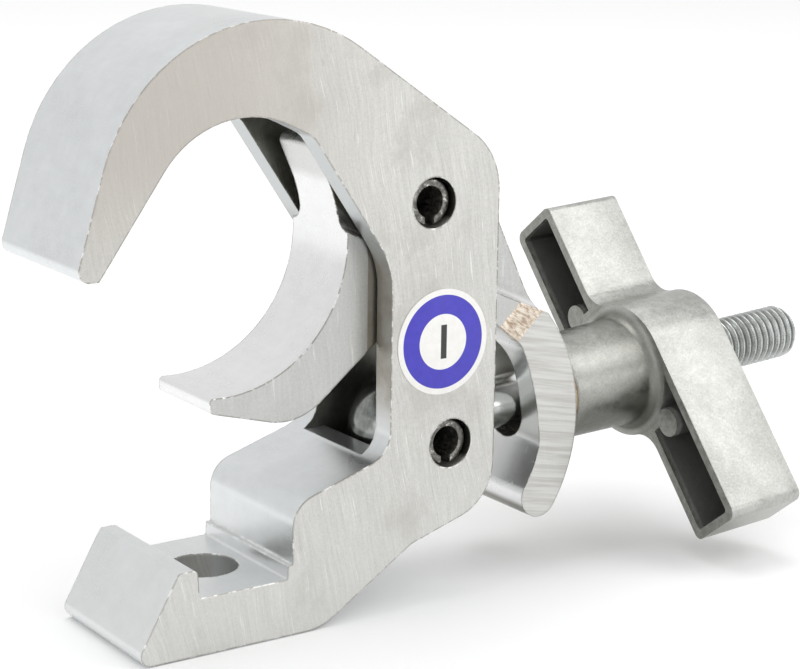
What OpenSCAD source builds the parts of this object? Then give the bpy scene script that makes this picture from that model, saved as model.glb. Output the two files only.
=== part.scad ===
// Quick-trigger pipe clamp for stage and theatre tube.
// Frame: +Z up, X along the mouth (hook tip at -X, wing nut at +X), Y along the tube.
// Origin: centre of the fixing hole on the underside of the base.

/* [Body] */
// width of the hook body along the tube
body_w = 32; // [28:0.5:40]
// width of the slot between the two cheeks
slot_w = 21.5; // [18:0.5:26]
// outer radius of the hook
hook_r = 35.4; // [32:0.1:40]
// width of the bolt-head channel in the base, across the flats of an M12 head
channel_w = 19.3; // [19:0.1:22]
// height of the channel floor above the underside
channel_z = 11.4; // [9:0.1:14]
// diameter of the fixing hole through the base
base_hole_d = 14; // [12:0.5:16]

/* [Pins] */
// outer diameter of both spring pins
pin_d = 10; // [8:0.5:12]
// length of each spring pin
pin_len = 29; // [24:0.5:32]
// wall thickness of the spring pins
pin_wall = 1.9; // [1:0.1:2.5]
// width of the slit along each spring pin
pin_slit = 2.2; // [0.6:0.1:3]
// running clearance on the radius of every moving bore
run_gap = 0.05; // [0.01:0.01:0.1]
// X of the jaw pin
jaw_pin_x = 42.6; // [40:0.1:45]
// Z of the jaw pin
jaw_pin_z = 81.8; // [78:0.1:86]
// X of the swing bolt pin
bolt_pin_x = 47.45; // [44:0.05:50]
// Z of the swing bolt pin
bolt_pin_z = 32.9; // [30:0.1:36]

/* [Jaw] */
// width of the saddle and of the arm
saddle_w = 20; // [16:0.5:21]
// radius of the saddle face that bears on the tube
saddle_r = 27.4; // [24:0.1:30]
// width of the neck that carries the jaw pin
neck_w = 13.5; // [10:0.5:18]
// width of the tail that the nut bears on
tail_w = 24.4; // [20:0.2:30]
// outer radius of the tail about the bolt pin
tail_r = 35; // [32:0.1:38]
// radial thickness of the tail
tail_t = 9; // [7:0.1:12]
// radius of the flatter inner face round the slot of the tail
tail_pad_r = 59.6; // [40:0.1:90]
// width of the slot in the tail for the bolt
tail_slot_w = 12.6; // [12.2:0.1:14]
// lowest point of the tail slot
tail_slot_z0 = 26.7; // [24:0.1:30]
// highest point of the tail slot
tail_slot_z1 = 48.9; // [46:0.1:55]

/* [Swing bolt] */
// outside diameter of the thread
thread_d = 11.9; // [9.9:0.1:12]
// diameter of the turned ball eye
eye_d = 23.6; // [18:0.5:26]
// width of the eye over its flats
eye_w = 14; // [10:0.5:16]
// distance from the pin to the end of the thread
bolt_len = 104.6; // [90:0.2:120]
// length of the threaded part
thread_len = 72; // [40:1:80]
// upward tilt of the bolt in degrees
bolt_tilt = 3.8; // [0:0.1:10]

/* [Wing nut] */
// thickness of the thrust washer
washer_t = 1.2; // [0.8:0.1:2]
// outside diameter of the thrust washer
washer_d = 22.4; // [20:0.2:26]
// diameter of the hub at its front end
hub_d = 22.4; // [20:0.2:26]
// diameter of the hub where it joins the wings
hub_d2 = 23.4; // [20:0.2:28]
// distance from the bolt pin to the front face of the wings
wing_front = 57.1; // [50:0.1:64]
// depth of the wings along the bolt
wing_depth = 19.1; // [14:0.1:24]
// half the span of the wings
wing_half = 41; // [30:0.5:50]
// radius of the round middle of the wings and width of each wing
wing_mid_r = 14.5; // [12:0.1:17]
// wall thickness of the hollow wings
wing_wall = 1.9; // [1.2:0.1:3]
// turn of the wings about the bolt in degrees
wing_turn = -37.5; // [-180:0.5:180]

/* [Label] */
// diameter of the round label
label_d = 21.2; // [18:0.2:24]
// thickness of the label
label_t = 0.2; // [0.1:0.05:0.4]

/* [Hidden] */
$fn = 96;
P1 = [jaw_pin_x, jaw_pin_z];          // jaw pin
P2 = [bolt_pin_x, bolt_pin_z];        // swing bolt pin
C0 = [-0.8, 75.1];                    // centre of the saddle face
seat = tail_r + 0.05;                 // bolt pin to the back of the thrust washer
tail_in = tail_r - tail_t;            // inner radius of the tail
pad_c = [73.0 - tail_pad_r, 25.05];   // centre of the flatter inner face
neck_line = [28.7, 75.7];             // a point on the lower edge of the milled neck
neck_slope = -23.9;                   // direction of that edge
eye_pocket = 12.7;                    // radius of the round pocket for the eye
shoulder_a = 43;                      // radial line where the tail gets its full width

// ---------- helpers ----------

function unit(v) = v / norm(v);
// points of the arc that rounds corner i, at most 5 degrees apart
function corner(p, i) = let (
    n = len(p), c = [p[i][0], p[i][1]],
    a = [p[(i + n - 1) % n][0], p[(i + n - 1) % n][1]],
    b = [p[(i + 1) % n][0], p[(i + 1) % n][1]],
    u = unit(a - c), v = unit(b - c), r = p[i][2],
    h = acos(max(-1, min(1, u * v))) / 2,
    o = c + unit(u + v) * r / sin(h), t = c + u * r / tan(h),
    turn = (c[0] - a[0]) * (b[1] - c[1]) - (c[1] - a[1]) * (b[0] - c[0]),
    m = max(2, ceil((180 - 2 * h) / 5)), d = sign(turn) * (180 - 2 * h) / m,
    f = atan2(t[1] - o[1], t[0] - o[0]))
    [for (k = [0:m]) o + r * [cos(f + k * d), sin(f + k * d)]];

// prism with rounded corners; points of the outline are [x, y, radius]
module rprism(p, h) linear_extrude(height = h, center = true)
    polygon([for (i = [0:len(p) - 1])
        each (p[i][2] > 0 ? corner(p, i) : [[p[i][0], p[i][1]]])]);
// prism whose outline is given in X and Z, extruded across the width
module side(p, w) rotate([90, 0, 0]) rprism(p, w);
// round bar along Y at a point of the side view
module cross_bar(p, d, l) translate([p[0], 0, p[1]]) rotate([90, 0, 0])
    cylinder(d = d, h = l, center = true);
// frame of the bolt: Z along the bolt, X towards its upper side
module on_bolt() translate([P2[0], 0, P2[1]]) rotate([0, -bolt_tilt, 0])
    rotate([0, 90, 0]) rotate([0, 0, 180]) children();

// ---------- hook body ----------

// outline of the body from the hook tip over the hook, down the back and round the base
body_pts = [
    [-34.0, 74.1, 2.2], [-14.4, 139.8, hook_r], [58.15, 90.4, 14],
    [58.15, 19.6, 11], [38.3, 13.4, 6], [17.3, 0, 12], [-23.7, 0, 2.2],
    [-14.0, 17.1, 1], [-10.0, 17.1, 1.2], [-channel_w / 2, channel_z, 0.5],
    [channel_w / 2, channel_z, 0.5], [9.75, 14.2, 0.3], [10.8, 14.2, 0.3],
    [10.8, 25.9, 6], [33.05, 32.9, 6.5], [33.05, 70.3, 16],
    [15.2, 96.6, 5], [2.06, 103.05, 20.79], [-12.41, 97.76, 20.57], [-29.3, 74.1, 0.6]];

module hook_body() {
    color([0.80, 0.80, 0.78])
    difference() {
        side(body_pts, body_w);
        // slot between the cheeks, open at the back and above the neck
        side([[0, 60, 0], [0, 101.1, 0], [80, 101.1, 0], [80, 32, 0], [24, 32, 0]], slot_w);
        // round pocket for the eye of the swing bolt
        cross_bar(P2, 2 * eye_pocket, slot_w);
        side([[P2[0], P2[1], 0], [80, P2[1], 0], [80, P2[1] - 8.2, 0],
            [P2[0], P2[1] - 8.2, 0]], slot_w);
        cross_bar(P1, pin_d, body_w + 2);
        cross_bar(P2, pin_d, body_w + 2);
        translate([0, 0, -1]) cylinder(d = base_hole_d, h = channel_z + 3);
    }
}

// ---------- jaw ----------

// saddle, neck and arm; the two big arcs are cut afterwards
jaw_pts = [
    [-3.8, 50, 0], [-3.9, 44.9, 1.3], [15.6, 39.7, 13], [36.3, 56.4, 0],
    [47.4, 46, 0], [69.5, 47, 0], [75.78, 53.47, 0], [74.2, 55.6, 0],
    [60.3, 84.5, 9], [43.5, 91.9, 10], [20.5, 94.6, 1.6],
    [24.23, 86.24, 0], [10, 80, 0]];

module clamp_jaw() {
    color([0.82, 0.82, 0.80])
    difference() {
        union() {
            side(jaw_pts, tail_w);
            // tail: a ring about the bolt pin with a rounded end
            intersection() {
                cross_bar(P2, 2 * tail_r, tail_w);
                side([[P2[0], P2[1], 0], [P2[0] + 60 * cos(-32.5), P2[1] + 60 * sin(-32.5), 0],
                    [P2[0] + 70, P2[1], 0], [P2[0] + 60 * cos(37), P2[1] + 60 * sin(37), 0]],
                    tail_w + 2);
            }
            cross_bar(P2 + (tail_r - tail_t / 2) * [cos(-32.5), sin(-32.5)], tail_t, tail_w);
        }
        cross_bar(C0, 2 * saddle_r, tail_w + 2);
        // the lip of the saddle is rounded
        side([[-6, 46.4, 0], [-3.88, 46.4, 0], [-3.84, 47.86, 0.95], [-1.6, 47.74, 0],
            [-1.6, 50.5, 0], [-6, 50.5, 0]], tail_w + 2);
        intersection() {
            cross_bar(P2, 2 * tail_in, tail_w + 2);
            cross_bar(pad_c, 2 * tail_pad_r, tail_w + 4);
            side([[36.3, 0, 0], [96, 0, 0], [96, 90, 0], [36.3, 90, 0]], tail_w + 2);
        }
        for (s = [-1, 1]) {
            // both sides are cut down to the saddle width up to the radial shoulder
            translate([P2[0], 0, P2[1]]) rotate([0, -shoulder_a, 0]) rotate([90, 0, 90])
                rprism([[s * saddle_w / 2, 3.4, 2.5], [s * (tail_w / 2 + 0.1), -0.15, 0],
                    [s * 40, -0.15, 0], [s * 40, 90, 0], [s * saddle_w / 2, 90, 0]], 200);
            // and further to the neck width above a slanted edge
            translate([neck_line[0], 0, neck_line[1]]) rotate([0, -neck_slope, 0])
                rotate([90, 0, 90])
                rprism([[s * neck_w / 2, 0, 3.2], [s * 40, 0, 0], [s * 40, 60, 0],
                    [s * neck_w / 2, 60, 0]], 200);
        }
        cross_bar(P1, pin_d + 2 * run_gap, tail_w + 2);
        // slot for the bolt, round at both ends
        translate([55, 0, 0]) rotate([90, 0, 90]) {
            for (z = [tail_slot_z0 + tail_slot_w / 2, tail_slot_z1 - tail_slot_w / 2])
                translate([0, z, 0]) cylinder(d = tail_slot_w, h = 40);
            translate([-tail_slot_w / 2, tail_slot_z0 + tail_slot_w / 2, 0])
                cube([tail_slot_w, tail_slot_z1 - tail_slot_z0 - tail_slot_w, 40]);
        }
    }
}

// ---------- spring pins ----------

// rolled pin with a slit along its underside and tapered ends
module spring_pin(p) translate([p[0], 0, p[1]]) rotate([90, 0, 0]) difference() {
    rotate_extrude() polygon([[0, -pin_len / 2], [pin_d / 2 - 0.6, -pin_len / 2],
        [pin_d / 2, -pin_len / 2 + 1.2], [pin_d / 2, pin_len / 2 - 1.2],
        [pin_d / 2 - 0.6, pin_len / 2], [0, pin_len / 2]]);
    cylinder(d = pin_d - 2 * pin_wall, h = pin_len + 2, center = true);
    translate([-pin_slit / 2, -pin_d, -pin_len]) cube([pin_slit, pin_d, 2 * pin_len]);
}
module jaw_pivot_pin() color([0.35, 0.35, 0.34]) spring_pin(P1);
module bolt_pivot_pin() color([0.35, 0.35, 0.34]) spring_pin(P2);

// ---------- swing bolt ----------

module swing_bolt() {
    color([0.74, 0.75, 0.76])
    difference() {
        union() {
            intersection() {
                translate([P2[0], 0, P2[1]]) rotate([90, 0, 0]) sphere(d = eye_d);
                translate([P2[0] - 20, -eye_w / 2, P2[1] - 20]) cube([40, eye_w, 40]);
            }
            on_bolt() rotate_extrude() polygon([[0, 6], [8.4, 6], [8.0, 8.6], [thread_d / 2 - 0.55, 13.2],
                [thread_d / 2 - 0.55, bolt_len - thread_len], [thread_d / 2, bolt_len - thread_len + 0.6],
                [thread_d / 2, bolt_len - 1.3], [thread_d / 2 - 1.1, bolt_len], [0, bolt_len]]);
        }
        cross_bar(P2, pin_d + 2 * run_gap, 40);
    }
}

// ---------- thrust washer and wing nut ----------

module thrust_washer() color([0.62, 0.50, 0.36]) on_bolt() translate([0, 0, seat])
    difference() {
        cylinder(d = washer_d, h = washer_t);
        translate([0, 0, -1]) cylinder(d = thread_d + 2 * run_gap, h = washer_t + 2);
    }

// plan of the wings: a round middle with one arm offset to each side
blend_r = 6;
blend_x = sqrt(pow(wing_mid_r + blend_r, 2) - pow(blend_r, 2));
blend_k = [(wing_mid_r + blend_r) * wing_mid_r / blend_x,
           wing_mid_r * (wing_mid_r + blend_r - blend_r) / blend_x];
wing_half_pts = [[wing_half, -wing_mid_r, 2.2], [wing_half, 0, 1.6],
    [blend_k[0], 0, blend_r - 0.06], [blend_k[1], wing_mid_r, wing_mid_r - 0.1]];
wing_pts = concat(wing_half_pts, [for (q = wing_half_pts) [-q[0], -q[1], q[2]]]);
boss_r = 3.1;

module wing_nut() {
    h0 = seat + washer_t + 0.05;
    color([0.70, 0.70, 0.68])
    on_bolt() rotate([0, 0, wing_turn]) difference() {
        union() {
            translate([0, 0, wing_front + wing_depth / 2]) rprism(wing_pts, wing_depth);
            // hub with a round blend onto the wings
            rotate_extrude() difference() {
                polygon([[0, h0], [hub_d / 2 - 0.5, h0], [hub_d / 2, h0 + 0.5],
                    [hub_d2 / 2, wing_front - 2.4], [hub_d2 / 2 + 2.4, wing_front],
                    [hub_d2 / 2 + 2.4, wing_front + 2], [0, wing_front + 2]]);
                translate([hub_d2 / 2 + 2.4, wing_front - 2.4]) circle(r = 2.4, $fn = 48);
            }
        }
        // hollow arms, open towards the clamp, with an ejector pad at the inner end of each
        for (k = [0, 180]) rotate(k)
            translate([0, 0, wing_front + (wing_depth - wing_wall) / 2 - 0.5]) difference() {
                rprism([[2, -wing_mid_r + wing_wall, 0],
                    [wing_half - wing_wall, -wing_mid_r + wing_wall, 0.8],
                    [wing_half - wing_wall, -wing_wall, 0.8], [2, -wing_wall, 0]],
                    wing_depth - wing_wall + 1);
                cylinder(r = 14.3, h = 40, center = true);
                translate([0, -7, -20]) cube([15.6, 8, 40]);
                translate([15.9, -7, 0]) cylinder(r = boss_r, h = 40, center = true);
            }
        cylinder(d = thread_d + 2 * run_gap, h = 200);
    }
}

// ---------- label ----------

module label() color([0.15, 0.15, 0.55])
    translate([45.05, -body_w / 2, 54.0]) rotate([90, 0, 0]) cylinder(d = label_d, h = label_t);

hook_body();
clamp_jaw();
jaw_pivot_pin();
bolt_pivot_pin();
swing_bolt();
thrust_washer();
wing_nut();
label();
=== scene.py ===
import bpy
import bmesh
import math
from mathutils import Matrix, Vector


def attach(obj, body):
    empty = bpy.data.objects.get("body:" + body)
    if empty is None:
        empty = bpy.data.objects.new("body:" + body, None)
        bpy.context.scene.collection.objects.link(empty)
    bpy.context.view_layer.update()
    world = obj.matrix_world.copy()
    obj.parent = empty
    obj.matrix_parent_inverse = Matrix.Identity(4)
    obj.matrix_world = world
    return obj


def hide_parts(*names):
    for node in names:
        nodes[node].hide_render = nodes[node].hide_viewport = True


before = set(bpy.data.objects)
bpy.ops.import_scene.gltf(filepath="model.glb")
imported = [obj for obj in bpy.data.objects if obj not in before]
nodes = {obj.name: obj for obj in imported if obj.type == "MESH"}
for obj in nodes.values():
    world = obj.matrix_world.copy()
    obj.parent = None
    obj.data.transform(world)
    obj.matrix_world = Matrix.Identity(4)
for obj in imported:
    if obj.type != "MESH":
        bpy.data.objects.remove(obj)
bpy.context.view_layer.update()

MM = 0.001
P2 = Vector((47.45, 0.0, 32.9)) * MM
TILT = math.radians(3.8)
D = Vector((math.cos(TILT), 0.0, math.sin(TILT)))
UP = Vector((-math.sin(TILT), 0.0, math.cos(TILT)))
WT = math.radians(-37.5)
WU = UP * math.cos(WT) + Vector((0, -1, 0)) * math.sin(WT)
WV = UP * -math.sin(WT) + Vector((0, -1, 0)) * math.cos(WT)


# ---------------------------------------------------------------- node helpers
class Mat:
    def __init__(self, name):
        self.m = bpy.data.materials.new(name)
        self.m.use_nodes = True
        self.t = self.m.node_tree
        self.t.nodes.clear()
        self.out = self.t.nodes.new("ShaderNodeOutputMaterial")
        self.b = self.t.nodes.new("ShaderNodeBsdfPrincipled")
        self.t.links.new(self.b.outputs[0], self.out.inputs[0])
        self.tc = self.t.nodes.new("ShaderNodeTexCoord")
        self.pos = self.tc.outputs["Object"]
        self.nrm = self.tc.outputs["Normal"]

    def put(self, sock, v):
        if hasattr(v, "default_value") or isinstance(v, bpy.types.NodeSocket):
            self.t.links.new(v, sock)
        else:
            sock.default_value = v

    def set(self, name, v):
        self.put(self.b.inputs[name], v)

    def math(self, op, a, b=0.0, c=None, clamp=False):
        n = self.t.nodes.new("ShaderNodeMath")
        n.operation = op
        n.use_clamp = clamp
        self.put(n.inputs[0], a)
        self.put(n.inputs[1], b)
        if c is not None:
            self.put(n.inputs[2], c)
        return n.outputs[0]

    def xyz(self, v):
        n = self.t.nodes.new("ShaderNodeSeparateXYZ")
        self.put(n.inputs[0], v)
        return n.outputs

    def vec(self, x, y, z):
        n = self.t.nodes.new("ShaderNodeCombineXYZ")
        for i, v in enumerate((x, y, z)):
            self.put(n.inputs[i], v)
        return n.outputs[0]

    def dot(self, v, w):
        n = self.t.nodes.new("ShaderNodeVectorMath")
        n.operation = "DOT_PRODUCT"
        self.put(n.inputs[0], v)
        n.inputs[1].default_value = w
        return n.outputs["Value"]

    def sub(self, v, w):
        n = self.t.nodes.new("ShaderNodeVectorMath")
        n.operation = "SUBTRACT"
        self.put(n.inputs[0], v)
        n.inputs[1].default_value = w
        return n.outputs[0]

    def scaled(self, v, s):
        n = self.t.nodes.new("ShaderNodeMapping")
        self.put(n.inputs["Vector"], v)
        n.inputs["Scale"].default_value = s
        return n.outputs[0]

    def noise(self, v, scale, detail=3.0, rough=0.55, seed=0.0):
        n = self.t.nodes.new("ShaderNodeTexNoise")
        n.noise_dimensions = "4D"
        self.put(n.inputs["Vector"], v)
        n.inputs["W"].default_value = seed
        n.inputs["Scale"].default_value = scale
        n.inputs["Detail"].default_value = detail
        n.inputs["Roughness"].default_value = rough
        return n.outputs[0]

    def ramp(self, x, lo, hi, a=0.0, b=1.0, smooth=True):
        n = self.t.nodes.new("ShaderNodeMapRange")
        n.interpolation_type = "SMOOTHSTEP" if smooth else "LINEAR"
        self.put(n.inputs["Value"], x)
        n.inputs["From Min"].default_value = lo
        n.inputs["From Max"].default_value = hi
        n.inputs["To Min"].default_value = a
        n.inputs["To Max"].default_value = b
        return n.outputs[0]

    def mix(self, f, a, b):
        n = self.t.nodes.new("ShaderNodeMix")
        n.data_type = "RGBA"
        self.put(n.inputs[0], f)
        self.put(n.inputs[6], a)
        self.put(n.inputs[7], b)
        return n.outputs[2]

    def mixf(self, f, a, b):
        n = self.t.nodes.new("ShaderNodeMix")
        n.data_type = "FLOAT"
        self.put(n.inputs[0], f)
        self.put(n.inputs[2], a)
        self.put(n.inputs[3], b)
        return n.outputs[0]

    def soft_edge(self, radius, samples=4):
        """Rounded-edge normal, and a mask that is 1 on the edges."""
        n = self.t.nodes.new("ShaderNodeBevel")
        n.samples = samples
        n.inputs["Radius"].default_value = radius
        g = self.t.nodes.new("ShaderNodeNewGeometry")
        d = self.t.nodes.new("ShaderNodeVectorMath")
        d.operation = "DOT_PRODUCT"
        self.t.links.new(n.outputs[0], d.inputs[0])
        self.t.links.new(g.outputs["Normal"], d.inputs[1])
        return n.outputs[0], self.ramp(d.outputs["Value"], 0.985, 0.90)

    def bump(self, h, strength, dist, normal=None):
        n = self.t.nodes.new("ShaderNodeBump")
        n.inputs["Strength"].default_value = strength
        n.inputs["Distance"].default_value = dist
        self.put(n.inputs["Height"], h)
        if normal is not None:
            self.put(n.inputs["Normal"], normal)
        return n.outputs[0]


def rgb(r, g, b):
    return (r, g, b, 1.0)


def metal(name, tilt=11.0, cut=(0.58, 0.575, 0.55), skin=(0.74, 0.76, 0.765),
          cut_rough=0.42, skin_rough=0.3, line=1.0, extra=None, seed=0.0):
    """Brushed side faces with slightly leaning scratches, and smooth drawn skin on every surface that runs along Y."""
    M = Mat(name)
    x, y, z = M.xyz(M.pos)
    nx, ny, nz = M.xyz(M.nrm)
    any_ = M.math("ABSOLUTE", ny)
    face = M.ramp(any_, 0.6, 0.85)
    ca, sa = math.cos(math.radians(tilt)), math.sin(math.radians(tilt))
    wob = M.math("MULTIPLY", M.math("SUBTRACT", M.noise(M.pos, 45.0, 1.0, 0.5, seed + 1.3), 0.5), 0.006)
    across = M.math("ADD", M.math("ADD", M.math("MULTIPLY", x, ca), M.math("MULTIPLY", z, sa)), wob)
    along = M.math("SUBTRACT", M.math("MULTIPLY", z, ca), M.math("MULTIPLY", x, sa))

    def streak(fa, fl, detail, rough, sd):
        return M.noise(M.vec(M.math("MULTIPLY", across, fa), M.math("MULTIPLY", y, 60.0), M.math("MULTIPLY", along, fl)),
                       1.0, detail, rough, sd)

    fine = streak(3600.0, 95.0, 2.0, 0.6, seed)
    lines = streak(1700.0, 60.0, 4.0, 0.65, seed + 2.2)
    broad = streak(420.0, 30.0, 2.0, 0.5, seed + 3.1)
    scratch = M.ramp(streak(2300.0, 130.0, 1.0, 0.4, seed + 8.8), 0.66, 0.74)
    nick = M.ramp(streak(2600.0, 260.0, 1.0, 0.4, seed + 6.4), 0.70, 0.78)
    cloud = M.noise(M.pos, 75.0, 4.0, 0.6, seed + 7.7)
    speck = M.noise(M.pos, 1700.0, 2.0, 0.7, seed + 9.2)
    grain = M.noise(M.pos, 4200.0, 1.0, 0.6, seed + 4.2)
    die = M.noise(M.scaled(M.pos, (1500.0, 12.0, 1500.0)), 1.0, 3.0, 0.6, seed + 5.5)

    def dev(v, k):
        return M.math("MULTIPLY", M.math("SUBTRACT", v, 0.5), k)

    def total(*v):
        r = v[0]
        for w in v[1:]:
            r = M.math("ADD", r, w)
        return r

    tone = total(dev(fine, 0.42 * line), dev(lines, 0.34 * line), dev(broad, 0.10 * line), dev(cloud, 0.16),
                 dev(speck, 0.34), dev(grain, 0.30))
    c1 = M.mix(M.ramp(tone, -0.30, 0.30, smooth=False), rgb(*[v * 0.70 for v in cut]), rgb(*[min(1, v * 1.30) for v in cut]))
    c1 = M.mix(M.math("MULTIPLY", scratch, 0.45 * line), c1, rgb(0.93, 0.92, 0.90))
    c1 = M.mix(M.math("MULTIPLY", nick, 0.45 * line), c1, rgb(0.36, 0.34, 0.31))
    mottle = M.noise(M.pos, 330.0, 3.0, 0.6, seed + 12.5)
    t2 = total(dev(die, 0.07), dev(cloud, 0.24), dev(mottle, 0.20), dev(speck, 0.07), dev(grain, 0.04))
    c2 = M.mix(M.ramp(t2, -0.26, 0.26, smooth=False), rgb(*[v * 0.80 for v in skin]), rgb(*[min(1, v * 1.20) for v in skin]))
    smudge = M.ramp(M.noise(M.pos, 62.0, 5.0, 0.68, seed + 15.0), 0.50, 0.66)
    c1 = M.mix(M.math("MULTIPLY", smudge, 0.42 * line), c1, rgb(*[v * k for v, k in zip(cut, (0.70, 0.68, 0.65))]))
    col = M.mix(face, c2, c1)
    # the arris: a dull burr line broken by bright rubbed spots
    round_n, arris = M.soft_edge(0.00055)
    rub = M.ramp(M.noise(M.pos, 420.0, 4.0, 0.7, seed + 11.0), 0.49, 0.58)
    col = M.mix(arris, col, M.mix(rub, rgb(0.17, 0.15, 0.115), rgb(0.98, 0.98, 0.96)))
    r1 = total(cut_rough, dev(lines, 0.22), dev(speck, 0.15))
    r2 = total(skin_rough, dev(cloud, 0.2), dev(mottle, 0.08))
    rough = M.mixf(face, r2, r1)
    h1 = total(M.math("MULTIPLY", fine, 0.8), lines, M.math("MULTIPLY", broad, 0.4), M.math("MULTIPLY", scratch, -0.5))
    h = M.mixf(face, M.math("MULTIPLY", die, 0.12), h1)
    h = total(h, M.math("MULTIPLY", speck, M.mixf(face, 0.0, 0.35)))
    if extra:
        col, rough, h = extra(M, (x, y, z), (nx, ny, nz), col, rough, h)
    M.set("Base Color", col)
    M.set("Roughness", rough)
    M.set("Metallic", 0.92)
    M.set("Normal", M.bump(h, 0.35, 0.00006, round_n))
    return M.m


def put_material(obj, mat):
    obj.data.materials.clear()
    obj.data.materials.append(mat)


def round_edges(obj, width, segments=3, angle=28.0):
    w = obj.modifiers.new("weld", "WELD")
    w.merge_threshold = 2e-6
    b = obj.modifiers.new("edge", "BEVEL")
    b.width = width
    b.segments = segments
    b.limit_method = "ANGLE"
    b.angle_limit = math.radians(angle)
    b.harden_normals = True
    b.use_clamp_overlap = True
    b.miter_outer = "MITER_ARC"
    for p in obj.data.polygons:
        p.use_smooth = True


def smooth_curves(obj, angle=28.0):
    """Curved skins shade smoothly and real corners stay sharp; the metal rounds them itself."""
    w = obj.modifiers.new("weld", "WELD")
    w.merge_threshold = 2e-6
    e = obj.modifiers.new("split", "EDGE_SPLIT")
    e.split_angle = math.radians(angle)
    for p in obj.data.polygons:
        p.use_smooth = True


# ------------------------------------------------------------------ materials
def body_extra(M, p, n, col, rough, h):
    x, y, z = p
    ay = M.math("ABSOLUTE", y)
    # inner faces of the two cheeks: never brushed; painted near-black shade inside the slot, broken up by noise
    inner = M.math("MULTIPLY", M.ramp(ay, 0.01095, 0.01085), M.ramp(ay, 0.0094, 0.0104))
    inner = M.math("MULTIPLY", inner, M.ramp(M.math("ABSOLUTE", n[1]), 0.6, 0.85))
    shade_blotch = M.noise(M.pos, 160.0, 4.0, 0.6, 14.0)
    col = M.mix(M.math("MULTIPLY", inner, M.ramp(shade_blotch, 0.25, 0.7, 0.94, 0.70)), col, rgb(0.085, 0.085, 0.065))
    # the edges of the cheeks inside the mouth get painted brownish shade behind the saddle
    edge_in = M.math("MULTIPLY", M.ramp(x, 0.0270, 0.0300), M.ramp(x, 0.0348, 0.0340))
    edge_in = M.math("MULTIPLY", edge_in, M.math("MULTIPLY", M.ramp(z, 0.034, 0.046), M.ramp(z, 0.0830, 0.0740)))
    edge_in = M.math("MULTIPLY", edge_in, M.ramp(M.math("ABSOLUTE", n[1]), 0.6, 0.3))
    col = M.mix(M.math("MULTIPLY", edge_in, M.ramp(shade_blotch, 0.25, 0.75, 0.95, 0.65)), col, rgb(0.26, 0.235, 0.19))
    # inner skins of the mouth: painted shade, darker and a little bluish
    mouth = M.math("MULTIPLY", M.ramp(x, -0.016, -0.008), M.ramp(x, 0.0348, 0.0340))
    mouth = M.math("MULTIPLY", mouth, M.math("MULTIPLY", M.ramp(z, 0.068, 0.074), M.ramp(z, 0.1050, 0.1040)))
    mouth = M.math("MULTIPLY", mouth, M.ramp(M.math("ABSOLUTE", n[1]), 0.6, 0.3))
    col = M.mix(M.math("MULTIPLY", mouth, 0.70), col, rgb(0.44, 0.46, 0.455))
    col = M.mix(M.math("MULTIPLY", M.ramp(z, 0.034, 0.0), 0.30), col, rgb(0.80, 0.80, 0.78))
    # bore walls around the two pins: painted dark shade, lighter at the lower lip
    def bore(cx, cz):
        bx, bz = M.math("SUBTRACT", x, cx), M.math("SUBTRACT", z, cz)
        br = M.math("SQRT", M.math("ADD", M.math("MULTIPLY", bx, bx), M.math("MULTIPLY", bz, bz)))
        return M.ramp(br, 0.00525, 0.00515), M.ramp(bz, -0.0028, -0.0040)

    for cx, cz in ((0.0426, 0.0818), (0.04745, 0.0329)):
        wall, lip = bore(cx, cz)
        wall = M.math("MULTIPLY", wall, M.ramp(M.math("ABSOLUTE", n[1]), 0.6, 0.3))
        col = M.mix(M.math("MULTIPLY", wall, 0.94), col, M.mix(lip, rgb(0.055, 0.048, 0.035), rgb(0.70, 0.69, 0.65)))
    # the crown of the hook has a warmer, slightly duller cast
    outer = M.math("MULTIPLY", M.ramp(ay, 0.0150, 0.0156), M.ramp(M.math("ABSOLUTE", n[1]), 0.6, 0.85))
    crown = M.math("MULTIPLY", outer, M.ramp(x, 0.040, -0.010))
    crown = M.math("MULTIPLY", crown, M.ramp(z, 0.060, 0.100))
    col = M.mix(M.math("MULTIPLY", crown, 0.75), col, rgb(0.44, 0.41, 0.37))
    return col, rough, h


body_mat = metal("body_aluminium", 11.0, extra=body_extra, seed=1.0)


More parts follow.
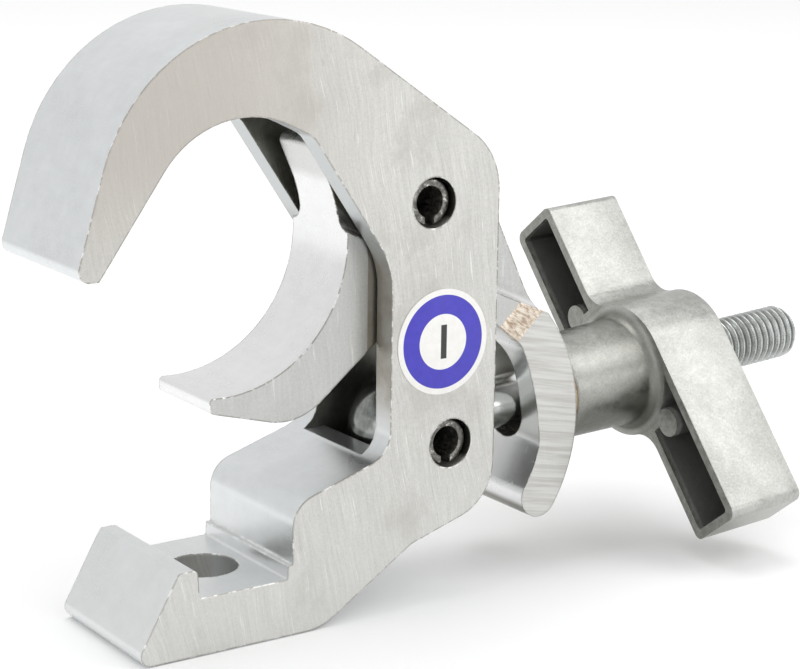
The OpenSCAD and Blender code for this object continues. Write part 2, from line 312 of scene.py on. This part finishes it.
def jaw_extra(M, p, n, col, rough, h):
    x, y, z = p
    dx = M.math("SUBTRACT", x, P2.x)
    dz = M.math("SUBTRACT", z, P2.z)
    ang = M.math("ARCTAN2", dz, dx)
    r = M.math("SQRT", M.math("ADD", M.math("MULTIPLY", dx, dx), M.math("MULTIPLY", dz, dz)))
    # the neck stays duller than the saddle
    col = M.mix(M.ramp(z, 0.0850, 0.0880, 0.0, 0.55), col, rgb(0.50, 0.50, 0.48))
    # the margin of each side that runs between the cheeks: painted brownish shadow cast by the cheeks
    mx = M.math("SUBTRACT", x, 0.01705)
    mz = M.math("MAXIMUM", M.math("SUBTRACT", z, 0.0703), 0.0)
    mr = M.math("SQRT", M.math("ADD", M.math("MULTIPLY", mx, mx), M.math("MULTIPLY", mz, mz)))
    margin = M.math("MULTIPLY", M.ramp(mr, 0.01415, 0.01440), M.ramp(mx, 0.0, 0.002))
    margin = M.math("MULTIPLY", margin, M.math("MULTIPLY", M.ramp(M.math("ABSOLUTE", y), 0.01020, 0.01010),
                                               M.ramp(M.math("ABSOLUTE", n[1]), 0.6, 0.85)))
    margin = M.math("MULTIPLY", margin, M.ramp(x, 0.0400, 0.0380))
    shade_blotch = M.noise(M.pos, 240.0, 4.0, 0.6, 18.0)
    col = M.mix(M.math("MULTIPLY", margin, M.ramp(shade_blotch, 0.25, 0.75, 0.90, 0.62)), col, rgb(0.22, 0.195, 0.15))
    # saw lines on the tail only, nearly level
    tail = M.math("MULTIPLY", M.ramp(M.math("ABSOLUTE", y), 0.01195, 0.0121), M.ramp(ang, 0.80, 0.76))
    face = M.ramp(M.math("ABSOLUTE", n[1]), 0.6, 0.85)
    tail = M.math("MULTIPLY", tail, face)
    sw, cw = math.sin(math.radians(12.0)), math.cos(math.radians(12.0))
    wl = M.math("ADD", M.math("MULTIPLY", x, sw), M.math("MULTIPLY", z, cw))
    al = M.math("SUBTRACT", M.math("MULTIPLY", x, cw), M.math("MULTIPLY", z, sw))
    saw = M.noise(M.vec(M.math("MULTIPLY", al, 45.0), M.math("MULTIPLY", y, 20.0), M.math("MULTIPLY", wl, 1050.0)), 1.0, 3.0, 0.6, 21.0)
    saw2 = M.noise(M.vec(M.math("MULTIPLY", al, 80.0), M.math("MULTIPLY", y, 20.0), M.math("MULTIPLY", wl, 2600.0)), 1.0, 2.0, 0.6, 23.0)
    sawc = M.mix(M.ramp(M.math("ADD", M.math("MULTIPLY", saw, 0.75), M.math("MULTIPLY", saw2, 0.25)), 0.36, 0.60),
                 rgb(0.49, 0.48, 0.45), rgb(0.67, 0.665, 0.645))
    col = M.mix(M.math("MULTIPLY", tail, 0.80), col, sawc)
    h = M.mixf(M.math("MULTIPLY", tail, 0.85), h, M.math("MULTIPLY", saw, 2.2))
    # the hollow of the tail is polished, with a painted dark reflection that deepens low down
    hollow = M.math("MULTIPLY", M.ramp(r, 0.0262, 0.0256), M.ramp(x, 0.0500, 0.0560))
    hollow = M.math("MULTIPLY", hollow, M.ramp(M.math("ABSOLUTE", n[1]), 0.6, 0.3))
    low = M.ramp(z, 0.0345, 0.0230, 0.45, 0.86)
    col = M.mix(M.math("MULTIPLY", hollow, low), col, rgb(0.14, 0.145, 0.12))
    # underside of the tail: painted dark shade on the faces that look down
    under = M.math("MULTIPLY", M.ramp(z, 0.0200, 0.0170), M.ramp(n[2], -0.15, -0.50))
    col = M.mix(M.math("MULTIPLY", under, 0.85), col, rgb(0.16, 0.15, 0.12))
    rough = M.mixf(hollow, rough, 0.20)
    # chattered cutter run-out at the shoulder, with a warm cast
    s43, c43 = math.sin(math.radians(43.0)), math.cos(math.radians(43.0))
    u = M.math("ADD", M.math("MULTIPLY", dx, c43), M.math("MULTIPLY", dz, s43))
    v = M.math("SUBTRACT", M.math("MULTIPLY", dz, c43), M.math("MULTIPLY", dx, s43))
    ay = M.math("ABSOLUTE", y)
    band = M.math("MULTIPLY", M.ramp(v, -0.00045, -0.00010), M.ramp(M.math("ADD", v, M.math("MULTIPLY", M.noise(M.pos, 700.0, 3.0, 0.7, 41.0), 0.0010)), 0.0045, 0.0042))
    band = M.math("MULTIPLY", band, M.math("MULTIPLY", M.ramp(ay, 0.00970, 0.00985), M.ramp(u, 0.0248, 0.0262)))
    chat = M.noise(M.vec(M.math("MULTIPLY", u, 1500.0), M.math("MULTIPLY", y, 500.0), M.math("MULTIPLY", v, 500.0)), 1.0, 5.0, 0.75, 33.0)
    warm = M.mix(M.ramp(chat, 0.38, 0.62), rgb(0.46, 0.34, 0.24), rgb(0.93, 0.85, 0.74))
    col = M.mix(band, col, warm)
    h = M.math("ADD", h, M.math("MULTIPLY", M.math("MULTIPLY", band, chat), 5.0))
    rough = M.mixf(band, rough, 0.36)
    return col, rough, h


jaw_mat = metal("jaw_aluminium", 4.0, cut=(0.51, 0.515, 0.50), skin=(0.88, 0.89, 0.88),
                cut_rough=0.42, skin_rough=0.28, line=0.5, extra=jaw_extra, seed=4.0)


def pin_material():
    M = Mat("spring_steel")
    x, y, z = M.xyz(M.pos)
    worn = M.noise(M.pos, 900.0, 4.0, 0.65, 2.0)
    fine = M.noise(M.scaled(M.pos, (2200.0, 300.0, 2200.0)), 1.0, 3.0, 0.6, 5.0)
    end = M.ramp(M.math("ABSOLUTE", y), 0.0137, 0.0144)
    base = M.mix(M.ramp(worn, 0.35, 0.7), rgb(0.10, 0.097, 0.088), rgb(0.30, 0.29, 0.27))
    base = M.mix(M.math("MULTIPLY", end, M.ramp(worn, 0.54, 0.66)), base, rgb(0.66, 0.65, 0.61))
    round_n, arris = M.soft_edge(0.00030)
    base = M.mix(M.math("MULTIPLY", arris, M.ramp(worn, 0.35, 0.60, 0.35, 0.95)), base, rgb(0.82, 0.80, 0.75))
    M.set("Base Color", base)
    M.set("Metallic", 0.95)
    M.set("Roughness", M.ramp(fine, 0.3, 0.7, 0.26, 0.5))
    M.set("Normal", M.bump(worn, 0.25, 0.00006, round_n))
    return M.m


def zinc_material():
    M = Mat("zinc_steel")
    q = M.sub(M.pos, P2)
    t = M.dot(q, D)
    cloud = M.noise(M.pos, 260.0, 4.0, 0.6, 3.0)
    fine = M.noise(M.pos, 2600.0, 2.0, 0.6, 8.0)
    ring = M.noise(M.vec(M.math("MULTIPLY", t, 3000.0), M.math("MULTIPLY", M.dot(q, UP), 60.0), 0.0), 1.0, 3.0, 0.6, 11.0)
    col = M.mix(M.ramp(cloud, 0.3, 0.7), rgb(0.42, 0.435, 0.425), rgb(0.66, 0.68, 0.67))
    # darker and rougher in the roots of the thread
    ay = M.dot(q, (0, 1, 0))
    au = M.dot(q, UP)
    rr = M.math("SQRT", M.math("ADD", M.math("MULTIPLY", ay, ay), M.math("MULTIPLY", au, au)))
    root = M.math("MULTIPLY", M.ramp(rr, 0.00555, 0.00495), M.ramp(t, 0.030, 0.034))
    col = M.mix(M.math("MULTIPLY", root, 0.85), col, rgb(0.12, 0.125, 0.11))
    # the eye and the waist behind it: painted dark shade and dark reflection from inside the slot
    eye_shade = M.math("MULTIPLY", M.ramp(t, 0.0085, 0.0050), M.ramp(cloud, 0.30, 0.62, 0.93, 0.60))
    col = M.mix(eye_shade, col, rgb(0.10, 0.105, 0.09))
    # the waist: painted highlight on top and painted shade underneath
    waist = M.math("MULTIPLY", M.ramp(t, 0.0085, 0.0100), M.ramp(t, 0.0320, 0.0290))
    col = M.mix(M.math("MULTIPLY", waist, M.ramp(au, 0.0005, 0.0020)), col, rgb(0.90, 0.92, 0.91))
    col = M.mix(M.math("MULTIPLY", waist, M.ramp(au, 0.0005, -0.0015, 0.0, 0.88)), col, rgb(0.11, 0.115, 0.095))
    M.set("Base Color", col)
    M.set("Metallic", 0.95)
    plain = M.ramp(t, 0.0335, 0.0315)
    M.set("Roughness", M.math("ADD", M.mixf(plain, M.ramp(fine, 0.3, 0.7, 0.20, 0.32), 0.17), M.math("MULTIPLY", root, 0.2)))
    M.set("Normal", M.bump(M.mixf(plain, M.math("ADD", fine, ring), M.math("MULTIPLY", cloud, 0.5)), 0.2, 0.00004))
    return M.m


def washer_material():
    M = Mat("washer_brass")
    n = M.noise(M.pos, 900.0, 4.0, 0.6, 6.0)
    M.set("Base Color", M.mix(M.ramp(n, 0.3, 0.7), rgb(0.36, 0.25, 0.15), rgb(0.62, 0.47, 0.30)))
    M.set("Metallic", 0.9)
    M.set("Roughness", M.ramp(n, 0.3, 0.7, 0.3, 0.5))
    M.set("Normal", M.bump(n, 0.3, 0.00005))
    return M.m


def cast_material():
    M = Mat("cast_aluminium")
    q = M.sub(M.pos, P2)
    t = M.dot(q, D)
    u = M.dot(q, WU)
    v = M.dot(q, WV)
    big = M.noise(M.pos, 120.0, 4.0, 0.6, 1.0)
    mid = M.noise(M.pos, 620.0, 4.0, 0.65, 2.0)
    grain = M.noise(M.pos, 2300.0, 2.0, 0.6, 4.0)
    tone = M.math("ADD", M.math("MULTIPLY", M.math("SUBTRACT", big, 0.5), 0.5),
                  M.math("MULTIPLY", M.math("SUBTRACT", mid, 0.5), 0.5))
    tone = M.math("ADD", tone, M.math("MULTIPLY", M.math("SUBTRACT", grain, 0.5), 0.55))
    col = M.mix(M.ramp(tone, -0.26, 0.26), rgb(0.35, 0.35, 0.325), rgb(0.55, 0.555, 0.53))
    # hollow arms: unfinished casting skin, rougher and less metallic, with painted near-black shade inside
    au = M.math("ABSOLUTE", u)
    sv = M.math("MULTIPLY", v, M.math("SIGN", u))
    inside = M.math("MULTIPLY", M.ramp(sv, -0.01275, -0.01255), M.ramp(sv, -0.00175, -0.00195))
    inside = M.math("MULTIPLY", inside, M.math("MULTIPLY", M.ramp(au, 0.0120, 0.0128), M.ramp(au, 0.03925, 0.03905)))
    inside = M.math("MULTIPLY", inside, M.math("MULTIPLY", M.ramp(t, 0.0574, 0.0590), M.ramp(t, 0.0745, 0.0743)))
    col = M.mix(M.math("MULTIPLY", inside, 0.96), col, rgb(0.045, 0.047, 0.040))
    # the rims of the hollow arms: painted dark reflection
    rim = M.math("MULTIPLY", M.ramp(t, 0.05735, 0.05715), M.ramp(au, 0.0128, 0.0145))
    col = M.mix(M.math("MULTIPLY", rim, M.ramp(mid, 0.3, 0.7, 0.85, 0.50)), col, rgb(0.17, 0.17, 0.15))
    # the hub: darker overall, with painted shade and dark reflection deepening towards the bottom and towards the
    # wings
    wv = M.math("SQRT", M.math("ADD", M.math("MULTIPLY", u, u), M.math("MULTIPLY", v, v)))
    hub = M.math("MULTIPLY", M.ramp(t, 0.0574, 0.0566), M.ramp(wv, 0.0150, 0.0146))
    low = M.ramp(M.dot(q, UP), 0.004, -0.009)
    hub = M.math("MULTIPLY", hub, M.math("ADD", 0.26, M.math("ADD", M.math("MULTIPLY", low, 0.46), M.ramp(t, 0.044, 0.0565, 0.0, 0.38))))
    col = M.mix(hub, col, rgb(0.13, 0.128, 0.11))
    M.set("Base Color", col)
    M.set("Metallic", M.math("SUBTRACT", 0.92, M.math("MULTIPLY", inside, 0.6)))
    M.set("Roughness", M.math("ADD", M.ramp(mid, 0.3, 0.7, 0.30, 0.46), M.math("MULTIPLY", inside, 0.3)))
    M.set("Normal", M.bump(M.math("ADD", M.math("MULTIPLY", mid, 1.5), grain), 0.45, 0.00007))
    return M.m


def label_material():
    M = Mat("label_vinyl")
    q = M.sub(M.pos, (0.04505, -0.0160, 0.0540))
    x, y, z = M.xyz(q)
    r = M.math("SQRT", M.math("ADD", M.math("MULTIPLY", x, x), M.math("MULTIPLY", z, z)))
    ring = M.math("MULTIPLY", M.ramp(r, 0.00555, 0.00562), M.ramp(r, 0.00945, 0.00938))
    wear = M.noise(M.pos, 500.0, 4.0, 0.6, 2.0)
    blue = M.mix(M.ramp(wear, 0.3, 0.7), rgb(0.047, 0.038, 0.43), rgb(0.060, 0.049, 0.49))
    white = M.mix(M.ramp(wear, 0.3, 0.7), rgb(0.80, 0.79, 0.76), rgb(0.86, 0.85, 0.82))
    # one plain dark bar in the middle
    bar1 = M.math("MULTIPLY", M.ramp(M.math("ABSOLUTE", M.math("SUBTRACT", x, 0.0002)), 0.00072, 0.00066),
                  M.ramp(M.math("ABSOLUTE", z), 0.00345, 0.00338))
    col = M.mix(ring, white, blue)
    col = M.mix(bar1, col, rgb(0.03, 0.03, 0.03))
    M.set("Base Color", col)
    M.set("Roughness", M.ramp(wear, 0.3, 0.7, 0.34, 0.5))
    M.set("Normal", M.bump(wear, 0.08, 0.00004))
    return M.m


# --------------------------------------------------------------- swing bolt
def build_bolt():
    """The eye bolt's shank with its real thread: waisted shank, helical M12 ridge."""
    bm = bmesh.new()
    pitch, rmaj, rmin = 1.75, 5.93, 4.93
    t_end, t_start = 104.55, 33.0
    seg = 64
    step = pitch / 12.0
    rows = []
    # shank from the eye to the start of the thread
    for t, r in ((7.2, 8.25), (8.6, 8.0), (9.6, 7.15), (11.0, 6.2), (13.2, 5.42), (20.0, 5.42), (30.0, 5.42)):
        rows.append((t, [r] * seg))
    n = int((t_end - t_start) / step)
    for i in range(n + 1):
        t = t_start + i * step
        row = []
        for k in range(seg):
            ph = (t / pitch - k / seg) % 1.0
            a = abs(ph - 0.5) * 2.0           # 0 at the crest, 1 at the root
            w = min(1.0, max(0.0, (a - 0.14) / 0.66))
            r = rmaj + (rmin - rmaj) * w
            fade = min(1.0, (t - t_start) / 3.0)
            r = 5.42 + (r - 5.42) * fade
            lead = (t_end - t)
            if lead < 1.5:
                r = min(r, rmaj - (1.5 - lead) * 0.85)
            row.append(r)
        rows.append((t, row))
    rows.append((t_end, [4.45] * seg))
    verts = []
    for t, row in rows:
        c = P2 + D * (t * MM)
        ring = []
        for k in range(seg):
            a = 2 * math.pi * k / seg
            ring.append(bm.verts.new(c + (UP * math.cos(a) + Vector((0, 1, 0)) * math.sin(a)) * (row[k] * MM)))
        verts.append(ring)
    for i in range(len(verts) - 1):
        for k in range(seg):
            k2 = (k + 1) % seg
            bm.faces.new((verts[i][k], verts[i][k2], verts[i + 1][k2], verts[i + 1][k]))
    bm.faces.new(list(reversed(verts[0])))
    bm.faces.new(verts[-1])
    bmesh.ops.recalc_face_normals(bm, faces=bm.faces)
    me = bpy.data.meshes.new("threaded_shank")
    bm.to_mesh(me)
    bm.free()
    for p in me.polygons:
        p.use_smooth = True
    ob = bpy.data.objects.new("threaded_shank", me)
    bpy.context.scene.collection.objects.link(ob)
    return ob


def build_eye():
    """Turned ball with two flats and a chamfered cross hole, as one lathe outline about Y."""
    Rs, hw, rb = 11.8, 7.0, 5.05
    prof = [(rb, -hw + 0.6), (rb + 0.6, -hw)]
    rf = math.sqrt(Rs * Rs - hw * hw)
    prof += [(rf - 0.35, -hw)]
    a0 = math.asin(hw / Rs)
    for i in range(25):
        a = -a0 + 0.03 + (2 * a0 - 0.06) * i / 24
        prof.append((Rs * math.cos(a), Rs * math.sin(a)))
    prof += [(rf - 0.35, hw), (rb + 0.6, hw), (rb, hw - 0.6)]
    seg = 96
    bm = bmesh.new()
    rings = []
    for r, y in prof:
        rings.append([bm.verts.new(P2 + Vector((r * math.cos(2 * math.pi * k / seg), y, r * math.sin(2 * math.pi * k / seg))) * MM)
                      for k in range(seg)])
    m = len(rings)
    for i in range(m):
        for k in range(seg):
            k2 = (k + 1) % seg
            bm.faces.new((rings[i][k], rings[i][k2], rings[(i + 1) % m][k2], rings[(i + 1) % m][k]))
    bmesh.ops.recalc_face_normals(bm, faces=bm.faces)
    me = bpy.data.meshes.new("ball_eye")
    bm.to_mesh(me)
    bm.free()
    me.shade_smooth()
    ob = bpy.data.objects.new("ball_eye", me)
    bpy.context.scene.collection.objects.link(ob)
    e = ob.modifiers.new("split", "EDGE_SPLIT")
    e.split_angle = math.radians(28)
    return ob


# ------------------------------------------------------------------- dress up
put_material(nodes["hook_body"], body_mat)
smooth_curves(nodes["hook_body"])
put_material(nodes["clamp_jaw"], jaw_mat)
smooth_curves(nodes["clamp_jaw"])
pin = pin_material()
for n in ("jaw_pivot_pin", "bolt_pivot_pin"):
    put_material(nodes[n], pin)
    round_edges(nodes[n], 0.00016, 2)
put_material(nodes["thrust_washer"], washer_material())
round_edges(nodes["thrust_washer"], 0.00018, 2)
put_material(nodes["wing_nut"], cast_material())
round_edges(nodes["wing_nut"], 0.0009, 4)
put_material(nodes["label"], label_material())
round_edges(nodes["label"], 0.00006, 2)

zinc = zinc_material()
shank = build_bolt()
eye = build_eye()
for o in (shank, eye):
    put_material(o, zinc)
    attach(o, "bolt")
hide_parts("swing_bolt")

# ---------------------------------------------------------------- floor, light
fm = bpy.data.meshes.new("floor")
fm.from_pydata([(-6, -6, 0), (6, -6, 0), (6, 6, 0), (-6, 6, 0)], [], [(0, 1, 2, 3)])
floor = bpy.data.objects.new("floor", fm)
floor.location = (0, 0, -0.0002)
bpy.context.scene.collection.objects.link(floor)
FM = Mat("floor_pale")
FM.set("Base Color", rgb(0.95, 0.95, 0.95))
FM.set("Roughness", 0.9)
put_material(floor, FM.m)

world = bpy.data.worlds.new("studio")
bpy.context.scene.world = world
world.use_nodes = True
bg = world.node_tree.nodes["Background"]
bg.inputs[0].default_value = (1.0, 1.0, 1.0, 1.0)
bg.inputs[1].default_value = 0.83


def area(name, loc, target, size, power, size_y=None, color=(1, 1, 1)):
    d = bpy.data.lights.new(name, "AREA")
    d.energy = power
    d.color = color
    d.shape = "RECTANGLE" if size_y else "SQUARE"
    d.size = size
    if size_y:
        d.size_y = size_y
    o = bpy.data.objects.new(name, d)
    o.location = loc
    o.rotation_mode = "QUATERNION"
    o.rotation_quaternion = (Vector(target) - Vector(loc)).to_track_quat("-Z", "Y")
    bpy.context.scene.collection.objects.link(o)
    return o


aim = (0.05, 0.0, 0.06)
area("key_right_front", (0.70, -0.56, 0.92), aim, 0.75, 3.3)
area("front_right_low", (0.62, -0.98, 0.26), aim, 0.30, 0.75)
area("fill_left", (-0.9, -0.15, 0.35), aim, 0.7, 1.6, color=(0.93, 0.97, 1.0))
area("top", (0.05, 0.40, 2.0), aim, 1.3, 10.5)

# --------------------------------------------------------------------- camera
cd = bpy.data.cameras.new("camera")
cd.sensor_width = 36.0
cd.sensor_fit = "HORIZONTAL"
cd.lens = 2257.61 * 36.0 / 800.0
cd.shift_x = -0.0054
cd.shift_y = -0.0012
cd.clip_start = 0.01
cd.clip_end = 50.0
cam = bpy.data.objects.new("camera", cd)
right = Vector((0.82595287, -0.56356756, 0.0139095))
up = Vector((0.12184568, 0.20255621, 0.97166075))
back = Vector((-0.55041393, -0.80085117, 0.23597016))
m = Matrix((right, up, back)).transposed().to_4x4()
m.translation = Vector((-0.2046, -0.3660, 0.1599))
cam.matrix_world = m
bpy.context.scene.collection.objects.link(cam)
bpy.context.scene.camera = cam
bpy.context.scene.view_settings.view_transform = "Standard"
